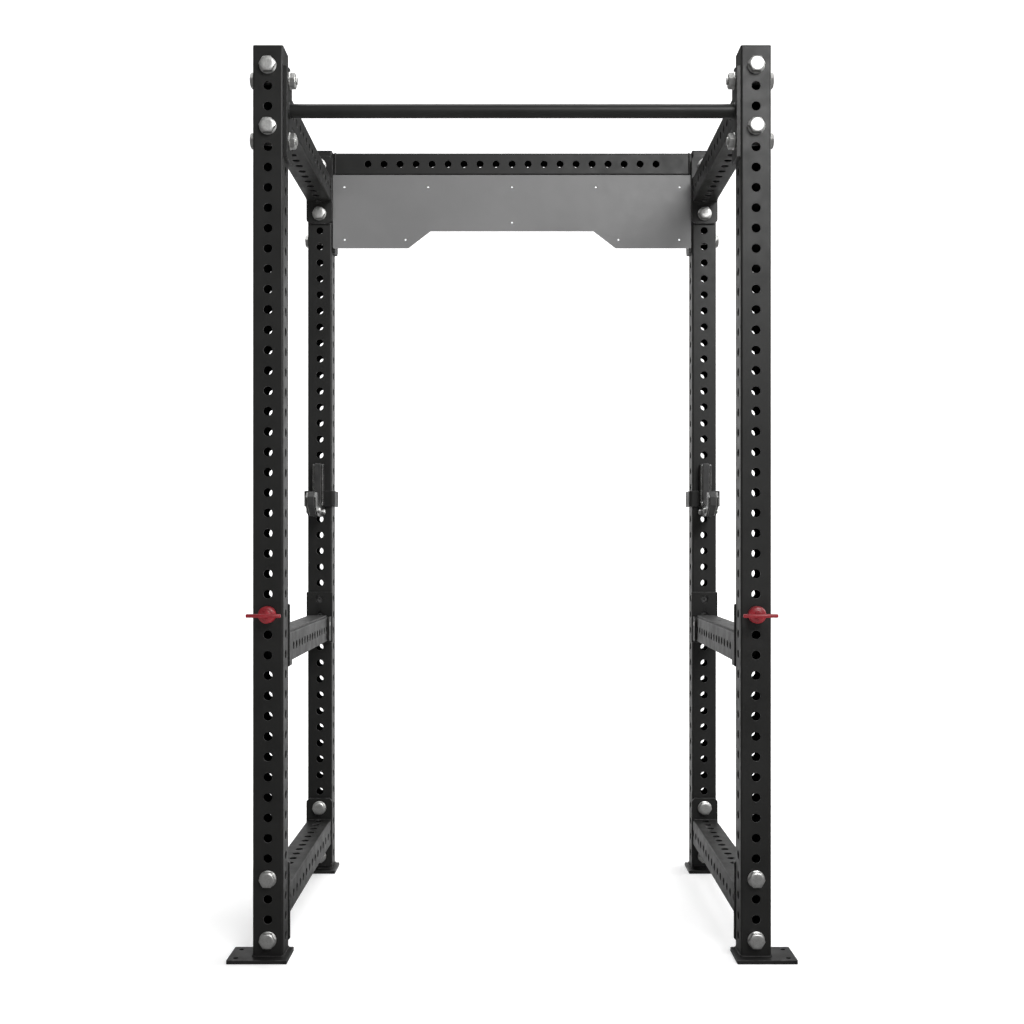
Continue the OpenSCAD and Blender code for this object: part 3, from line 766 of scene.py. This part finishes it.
BAR_PLATE_HALF = 35
low, high = row_z(BAR_ROWS[1]) - 50.4, row_z(BAR_ROWS[0]) + 27.2
bm = side_plates(FRONT_Y - BAR_PLATE_HALF, FRONT_Y + BAR_PLATE_HALF, low, high, 5, BAR_ROWS, FRONT_Y)
piece(bm, "pull_up_bar_end_plates", "black_powder_coat", BLACK)

# rear crossmember, its flanges and the header panel
REAR_TUBE, REAR_TOP, REAR_HOLES = 70.0, FRAME_H - 7, 19
PANEL_FACE = REAR_FRONT + 3
rear_z, rear_y = REAR_TOP - REAR_TUBE / 2, PANEL_FACE + REAR_TUBE / 2
centres = [end_x + PITCH * (i - REAR_HOLES // 2) for i in range(REAR_HOLES)]
bm = perf_tube(2 * end_x, REAR_TUBE, REAR_TUBE, centres, ("+Y", "-Y"))
bmesh.ops.transform(bm, matrix=at(-end_x, rear_y, rear_z, "+X"), verts=bm.verts[:])
for sx in (-1, 1):
    seam = at(sx * (end_x - 0.5), rear_y, rear_z, "+X")
    bead(bm, tube_path(REAR_TUBE + 1.0, REAR_TUBE + 1.0, TUBE_R + 0.5, seam), 2.2, seed=50 + sx)
piece(bm, "rear_crossmember", "black_powder_coat", [BLACK, PAINTED_SHADE_INSIDE])
low = row_z(REAR_ROWS[1]) - 42.6
bm = side_plates(PANEL_FACE + STEEL_T, PANEL_FACE + REAR_TUBE, low, REAR_TOP + 1, 12, REAR_ROWS, REAR_Y)
piece(bm, "rear_crossmember_flanges", "black_powder_coat", BLACK)

PANEL_H, CUT_H, CUT_SLOPE, PANEL_HOLE_R = 232, 54, 70, 3.0
panel_top = REAR_TOP - REAR_TUBE
panel_low, panel_half = panel_top - PANEL_H, INNER_X - 3
cut_half, cut_top = panel_half * 0.4556, panel_low + CUT_H
outline = [
    (-panel_half, panel_top),
    (-panel_half, panel_low),
    (-cut_half - CUT_SLOPE, panel_low),
    (-cut_half, cut_top),
    (cut_half, cut_top),
    (cut_half + CUT_SLOPE, panel_low),
    (panel_half, panel_low),
    (panel_half, panel_top),
]
holes = [(i * 266, panel_top - 38) for i in (-2, -1, 0, 1, 2)]
holes += [(s * x, panel_low + 27) for s in (-1, 1) for x in (338, 531)] + [(0, panel_low + 81.6)]
holes = [(x, z, PANEL_HOLE_R) for x, z in holes]
bm = bmesh.new()
plate(bm, fillet(outline, 2.5, 3), holes, STEEL_T, at(0, PANEL_FACE + STEEL_T / 2, 0, "-Y"), 0.6)
piece(bm, "header_panel", "grey_panel", GREY)


# safety arms and their brackets
def mirrored(bm, sx):
    """Flips a left-hand mesh to the right-hand side."""
    if sx > 0:
        bmesh.ops.transform(bm, matrix=Matrix.Scale(-1, 4, (1, 0, 0)), verts=bm.verts[:])
        bmesh.ops.reverse_faces(bm, faces=bm.faces[:])
    return bm


BRACKET_Z, BRACKET_H = PIN_Z - 137.6, 160
ARM_Y0, ARM_Y1 = FRONT_BACK + STEEL_T + 14, PIVOT_Y + 15
ARM_W, ARM_HOLES, CHEEK = TUBE - 2 * STEEL_T - 0.6, 15, 46.0


def cheeks(bm, y0, y1, z0, z1, radii, holes=()):
    """The two side plates of a bracket, and where each one is."""
    for s in (-1, 1):
        pts = fillet([(y0, z0), (y1, z0), (y1, z1), (y0, z1)], radii, 6)
        m = Matrix.Translation((-POST_X + s * (HALF - STEEL_T / 2), 0, 0)) @ YZ
        plate(bm, pts, list(holes), STEEL_T, m, 0.7)
        yield s, -POST_X + s * (HALF + 0.2)


def back_plate(bm, holes, y):
    """The plate of a bracket that lies on the post."""
    w, top = HALF + EDGE_LAP, BRACKET_Z + BRACKET_H
    pts = fillet([(-w, BRACKET_Z), (w, BRACKET_Z), (w, top), (-w, top)], 3.0, 4)
    plate(bm, pts, holes, STEEL_T, at(-POST_X, y, 0, "-Y"), 0.7)


def saddle_bracket():
    bm = bmesh.new()
    y0, y1 = FRONT_BACK, FRONT_BACK + STEEL_T
    back_plate(bm, [(0, PIN_Z, HOLE_R)], (y0 + y1) / 2)
    lathe(bm, [(11, 0), (11, 18.5), (9.8, 20), (0, 20)], at(-POST_X, y0 + 0.5, row_z(PIN_ROW + 2), "-Y"), 48)
    for s, x in cheeks(bm, y1 - 0.5, y1 + CHEEK, BRACKET_Z, ARM_TOP, [0.5, 3, 9, 0.5]):
        seam = [(x, y1 + 0.3, BRACKET_Z + 4), (x, y1 + 0.3, ARM_TOP - 3)]
        bead(bm, seam, 1.9, False, 1.2, 60 + s)
    shelf_lo = (-POST_X - HALF + 3, y1 - 0.4, BRACKET_Z + 0.2)
    shelf_hi = (-POST_X + HALF - 3, y1 + CHEEK - 1, ARM_TOP - TUBE - 0.3)
    rounded_box(bm, shelf_lo, shelf_hi, 0.8)
    return bm


def hinge_bracket():
    bm = bmesh.new()
    y1, y0 = REAR_FRONT, REAR_FRONT - STEEL_T
    stud_rows = (PIN_ROW, PIN_ROW + 1)
    back_plate(bm, [(0, row_z(k), 11.4) for k in stud_rows], (y0 + y1) / 2)
    stud = [(0, -20), (9.8, -20), (11, -18.5), (11, -0.5), (10.2, 0.3), (3.5, 0.3), (2.8, -1.2), (0, -1.2)]
    for k in stud_rows:
        lathe(bm, stud, at(-POST_X, y1, row_z(k), "-Y"), 48)
    pivot = [(PIVOT_Y, PIVOT_Z, 8.1)]
    for s, x in cheeks(bm, y0 - CHEEK, y0 + 0.5, BRACKET_Z + 7, ARM_TOP, [12, 0.5, 0.5, 14], pivot):
        seam = [(x, y0 - 0.3, BRACKET_Z + 11), (x, y0 - 0.3, ARM_TOP - 3)]
        bead(bm, seam, 1.9, False, 1.2, 70 + s)
    return bm


def hinge_pin():
    bm = bmesh.new()
    near = [(0, -HALF + 0.4), (3, -HALF + 0.4), (6.6, -HALF), (8, -HALF + 1.2)]
    far = [(8, HALF - 1.2), (6.6, HALF), (3, HALF - 0.4), (0, HALF - 0.4)]
    lathe(bm, near + far, at(-POST_X, PIVOT_Y, PIVOT_Z, "+X"), 48)
    return bm


def safety_arm():
    length = ARM_Y1 - ARM_Y0
    mid = (FRONT_BACK + REAR_FRONT) / 2 - ARM_Y0
    step = (REAR_FRONT - FRONT_BACK - 139.7) / (ARM_HOLES - 1)
    zs = [mid + (i - ARM_HOLES // 2) * step for i in range(ARM_HOLES)]
    bm = perf_tube(length, ARM_W, TUBE, zs, ("+X", "-X"), pitch=step - 6)
    bmesh.ops.transform(bm, matrix=at(-POST_X, ARM_Y0, ARM_TOP - TUBE / 2, "+Y"), verts=bm.verts[:])
    for s in (-1, 1):
        boss = at(-POST_X + s * ARM_W / 2, PIVOT_Y, PIVOT_Z, "+X" if s > 0 else "-X")
        lathe(bm, [(8.1, -3), (8.1, 0.02), (12.5, 0.02), (13, -0.3)], boss, 48)
    return bm


STRIP_T, STRIP_Y1 = 5.6, PIVOT_Y - 10
SCREWS = [ARM_Y0 + 40 + i * (STRIP_Y1 - ARM_Y0 - 80) / 3 for i in range(4)]


def arm_liner():
    bm = bmesh.new()
    w = (ARM_W - 6) / 2
    pts = fillet([(-w, ARM_Y0), (w, ARM_Y0), (w, STRIP_Y1), (-w, STRIP_Y1)], 3.0, 5)
    m = Matrix.Translation((-POST_X, 0, ARM_TOP + STRIP_T / 2))
    plate(bm, pts, [(0, y, 6.0) for y in SCREWS], STRIP_T, m, 1.2)
    return bm


def liner_screws():
    bm = bmesh.new()
    profile = [(3.0, -3.4), (5.7, -0.4), (5.7, 0), (5.3, 0.25), (2.5, 0.25), (2.3, -1.6), (0, -1.6)]
    for y in SCREWS:
        lathe(bm, profile, at(-POST_X, y, ARM_TOP + STRIP_T - 1.4), 36)
    return bm


# pull pins
KNOB_FACE, KNOB_R = FRONT_Y - HALF - 0.5, 21.5
TEE_Y = FRONT_Y - HALF - 59


def pin_shaft():
    bm = bmesh.new()
    length = FRONT_BACK + STEEL_T + 6 - KNOB_FACE
    profile = [(11, 0), (11, length - 2.5), (8.8, length), (0, length)]
    lathe(bm, profile, at(-POST_X, KNOB_FACE, PIN_Z, "+Y"), 64)
    return bm


def pin_knob():
    bm = bmesh.new()
    dome = [(20.5, 0), (21.4, 0.9), (KNOB_R, 2.0), (KNOB_R, 18.5)]
    for a in [math.radians(15 * i) for i in range(1, 6)]:
        dome.append((KNOB_R - 6 * (1 - math.cos(a)), 18.5 + 6 * math.sin(a)))
    dome += [(14.8, 25.0), (12.0, 25.4), (9.8, 26.5), (8.6, 29), (8.0, 33), (8.0, 58.5), (0, 58.5)]
    lathe(bm, [(0, 0), *dome], at(-POST_X, KNOB_FACE, PIN_Z, "-Y"), 72)
    return bm


def pin_handle():
    bm = bmesh.new()
    end = 43.0
    half = [(0, 0), (2.2, 0), (3.9, 0.8), (4.75, 2.4)]
    profile = [(r, -end + z) for r, z in half] + [(r, end - z) for r, z in half[::-1]]
    lathe(bm, profile, at(-POST_X, TEE_Y, PIN_Z, "+X"), 40)
    return bm


# J-cups
CUP_Z = row_z(CUP_ROW)
STRAP_Y = REAR_FRONT - 0.5 - 4 - STEEL_T
CUP_LOW, CUP_HIGH, SEAT_Z = CUP_Z - 95.2, CUP_Z + 72.8, CUP_Z - 57.2
BAND_LO, BAND_HI = CUP_Z - 37.7 - 24.5, CUP_Z - 37.7 + 24.5
LIP_TOP, LIP_FACE, LIP_LOW = CUP_Z - 21.6, CUP_Z - 38, CUP_Z - 67.2
CORE_T, CUP_DEPTH, CUP_STUD_IN = 19.0, 82, 38
CUP_BOLTS = [(15, CUP_LOW + 14.5), (110, CUP_LOW + 17)]


def hook_outline(d):
    """The hook's side view, with its inner and upper edges set back by d."""
    pts = [(0, CUP_LOW), (122, CUP_LOW), (167 - d, LIP_LOW - d / 2), (167 - d, LIP_FACE)]
    pts += [(153 - d / 2, LIP_TOP - d), (122 + d, LIP_TOP - d), (122 + d, SEAT_Z - d)]
    pts += [(30 - d, SEAT_Z - d), (30 - d, CUP_HIGH - d), (0, CUP_HIGH - d)]
    radii = [1, 14, 8, 3, 6, 4, 14 - d, 14 - d, 5, 1]
    return [(STRAP_Y - u, z) for u, z in fillet(pts, radii, 7)]


def hook_slab(bm, x, thick, d, bevel):
    holes = [(STRAP_Y - u, z, 5.1) for u, z in CUP_BOLTS]
    plate(bm, hook_outline(d), holes, thick, Matrix.Translation((x, 0, 0)) @ YZ, bevel)


def u_band(bm, inner, thick, front, back, z0, z1, bend, bevel=0.7):
    """A strip bent round three sides of the post, drawn from above and extruded upwards."""
    o = inner + thick
    far_bend, web = bend + thick, front + thick
    outer = fillet([(-o, back), (-o, front), (o, front), (o, back)], [0.6, far_bend, far_bend, 0.6], 8)
    inside = [(inner, back), (inner, web), (-inner, web), (-inner, back)]
    inside = fillet(inside, [0.6, bend, bend, 0.6], 8)
    plate(bm, outer + inside, [], z1 - z0, Matrix.Translation((-POST_X, 0, (z0 + z1) / 2)), bevel)


def j_cup_bracket():
    bm = bmesh.new()
    u_band(bm, HALF + 4.5, STEEL_T, STRAP_Y, STRAP_Y + CUP_DEPTH, BAND_LO, BAND_HI, 4.0)
    w = CORE_T / 2 + STEEL_T
    pts = fillet([(-w, CUP_LOW), (w, CUP_LOW), (w, CUP_HIGH), (-w, CUP_HIGH)], [4, 4, 5, 5], 4)
    plate(bm, pts, [], STEEL_T - 0.1, at(-POST_X, STRAP_Y + STEEL_T / 2, 0, "-Y"), 0.7)
    start = STRAP_Y + STEEL_T - 0.5
    length = REAR_FRONT + CUP_STUD_IN - start
    profile = [(11, 0), (11, length - 3), (8.6, length), (0, length)]
    lathe(bm, profile, at(-POST_X, start, CUP_Z, "+Y"), 56)
    return bm


def j_cup_liner():
    bm = bmesh.new()
    y0, y1 = STRAP_Y + STEEL_T, STRAP_Y + CUP_DEPTH
    u_band(bm, HALF + 0.5, 4.0, y0, y1, BAND_LO + 0.3, BAND_HI - 0.3, 0.8, 0.5)
    return bm


def j_cup_plates():
    bm = bmesh.new()
    for s in (-1, 1):
        hook_slab(bm, -POST_X + s * (CORE_T / 2 + STEEL_T / 2), STEEL_T, 2.5, 0.9)
    return bm


def j_cup_core():
    bm = bmesh.new()
    hook_slab(bm, -POST_X, CORE_T - 0.1, 0.0, 1.3)
    return bm


def j_cup_bolts():
    bm = bmesh.new()
    face = CORE_T / 2 + STEEL_T
    head = [(8.6, 0), (8.6, 2.2), (8.1, 3.9), (6.6, 5.4), (4.2, 6.2), (3.4, 6.3), (3.2, 3.6), (0, 3.6)]
    for u, z in CUP_BOLTS:
        y = STRAP_Y - u
        m = at(-POST_X + face, y, z, "+X")
        lathe(bm, head, m, 40)
        lathe(bm, [(5, 0), (5, -2 * face)], m, 32)
        m = at(-POST_X - face, y, z, "-X")
        hexagon(bm, 17.0, 6.0, m, math.radians(20), washer=0.5, bore=5.02, n=36)
        thread_end(bm, 5.0, 0, 6.4, m, 1.3)
    return bm


# piece, what builds it, slot, materials, and the area above which a face stays flat
PAIRS = (
    ("saddle_bracket", saddle_bracket, "black_powder_coat", BLACK, 25),
    ("hinge_bracket", hinge_bracket, "black_powder_coat", BLACK, 25),
    ("hinge_pin", hinge_pin, "zinc_hardware", ZINC, None),
    ("safety_arm", safety_arm, "black_powder_coat", [BLACK, PAINTED_SHADE_INSIDE], 25),
    ("arm_liner", arm_liner, "uhmw_liner", UHMW, 25),
    ("liner_screws", liner_screws, "zinc_hardware", ZINC, None),
    ("pin_shaft", pin_shaft, "zinc_hardware", ZINC, None),
    ("pin_knob", pin_knob, "red_grip", RED, None),
    ("pin_handle", pin_handle, "red_grip", RED, None),
    ("j_cup_bracket", j_cup_bracket, "black_powder_coat", BLACK, 25),
    ("j_cup_liner", j_cup_liner, "uhmw_liner", UHMW, 25),
    ("j_cup_plates", j_cup_plates, "black_powder_coat", CUP_BLACK, 25),
    ("j_cup_core", j_cup_core, "uhmw_liner", UHMW, 25),
    ("j_cup_bolts", j_cup_bolts, "zinc_hardware", ZINC, 30),
)
for label, build, slot, material, flat in PAIRS:
    for side, sx in SIDES.items():
        piece(mirrored(build(), sx), f"{side}_{label}", slot, material, flat_area=flat)


# ---------------------------------------------------------------- stage, light and camera
def studio_white():
    """Plain pale floor and backdrop that glow faintly, so they stay white behind dark steel."""
    m, nt, p = new_material("studio_white")
    tone = ramp(nt, noise(nt, 3.0, 2.0), [(0.3, (0.80, 0.80, 0.80)), (0.7, (0.84, 0.84, 0.84))])
    nt.links.new(tone, p.inputs["Base Color"])
    p.inputs["Roughness"].default_value = 0.9
    p.inputs["Specular IOR Level"].default_value = 0.15
    p.inputs["Emission Color"].default_value = (1, 1, 1, 1)
    tc = nt.nodes.new("ShaderNodeTexCoord")
    reach = nt.nodes.new("ShaderNodeVectorMath")
    reach.operation = "LENGTH"
    nt.links.new(tc.outputs["Object"], reach.inputs[0])
    # painted light: the glow rises from 0.30 within 0.8 m of the centre to 0.85 beyond 3.6 m. This makes up for
    # the lamps' light falling off on the far floor and wall, and keeps the glow low near the rack so soft contact
    # shadows show
    glow_near, glow_far, near, far = 0.30, 0.85, 0.8, 3.6
    glow = remap(nt, reach.outputs["Value"], glow_near, glow_far, near, far)
    nt.links.new(glow, p.inputs["Emission Strength"])
    return m


def sweep_backdrop():
    """Floor that curves up into a back wall."""
    bm = bmesh.new()
    start, bend = 4.0, 3.0
    profile = [(-9.0, 0.0), (start, 0.0)]
    for a in [math.radians(9 * i) for i in range(1, 11)]:
        profile.append((start + bend * math.sin(a), bend * (1 - math.cos(a))))
    profile.append((start + bend, 9.0))
    rows = []
    for y, z in profile:
        rows.append([bm.verts.new((x, y, z)) for x in (-14.0, 14.0)])
    for a, b in zip(rows, rows[1:]):
        bm.faces.new([a[0], a[1], b[1], b[0]])
    for f in bm.faces:
        f.smooth = True
    me = bpy.data.meshes.new("backdrop")
    bm.to_mesh(me)
    bm.free()
    ob = bpy.data.objects.new("backdrop", me)
    bpy.context.scene.collection.objects.link(ob)
    me.materials.append(studio_white())
    return ob


backdrop = sweep_backdrop()
backdrop.visible_glossy = False
backdrop.visible_shadow = False


def far_wall(radius=8.5, height=12.0, n=72):
    """White round wall that only the camera sees, so no angle shows an edge of the stage."""
    m, _, p = new_material("far_white")
    p.inputs["Base Color"].default_value = (0, 0, 0, 1)
    p.inputs["Specular IOR Level"].default_value = 0.0
    p.inputs["Emission Color"].default_value = (1, 1, 1, 1)
    p.inputs["Emission Strength"].default_value = 1.0
    me = bpy.data.meshes.new("far_wall")
    turn = [2 * math.pi * i / n for i in range(n)]
    verts = [(radius * math.cos(a), radius * math.sin(a), z) for z in (-0.05, height) for a in turn]
    me.from_pydata(verts, [], [(i, n + i, n + (i + 1) % n, (i + 1) % n) for i in range(n)])
    me.materials.append(m)
    ob = bpy.data.objects.new("far_wall", me)
    bpy.context.scene.collection.objects.link(ob)
    ob.visible_diffuse = ob.visible_glossy = ob.visible_transmission = ob.visible_shadow = False
    return ob


far_wall()


def area_light(name, place, aim, width, height, watts):
    data = bpy.data.lights.new(name, "AREA")
    data.shape = "RECTANGLE"
    data.size, data.size_y = width, height
    data.energy = watts
    ob = bpy.data.objects.new(name, data)
    ob.location = place
    ob.rotation_euler = (Vector(aim) - Vector(place)).to_track_quat("-Z", "Y").to_euler()
    ob.visible_camera = False
    bpy.context.scene.collection.objects.link(ob)


area_light("key_right", (4.2, 0.6, 3.0), (0, 0, 1.1), 2.0, 3.0, 130)
area_light("front_right_high", (2.1, -4.8, 4.3), (0.6, 0, 1.8), 2.6, 2.2, 230)
area_light("overhead", (0, 1.2, 5.0), (0, 0.9, 0), 5.0, 3.0, 150)
area_light("back_panel", (0, 4.2, 0.9), (0, 0, 0.9), 1.8, 4.0, 24.4)
for label, side in SIDES.items():
    area_light(f"{label}_back_panel", (side * 1.4, 4.2, 2.05), (side * 1.4, 0, 2.05), 1.0, 1.9, 6.4)

world = bpy.data.worlds.new("studio")
bpy.context.scene.world = world
world.use_nodes = True
world.node_tree.nodes["Background"].inputs["Color"].default_value = (1, 1, 1, 1)
world.node_tree.nodes["Background"].inputs["Strength"].default_value = 0.15

bpy.context.scene.view_settings.view_transform = "Standard"

cam_data = bpy.data.cameras.new("camera")
cam_data.lens = 43.7
cam_data.sensor_width = 36.0
cam_data.shift_y = 0.0288
cam_data.clip_end = 60
cam = bpy.data.objects.new("camera", cam_data)
cam.location = (0, -3.539, 1.046)
cam.rotation_euler = (math.radians(90), 0, 0)
bpy.context.scene.collection.objects.link(cam)
bpy.context.scene.camera = cam
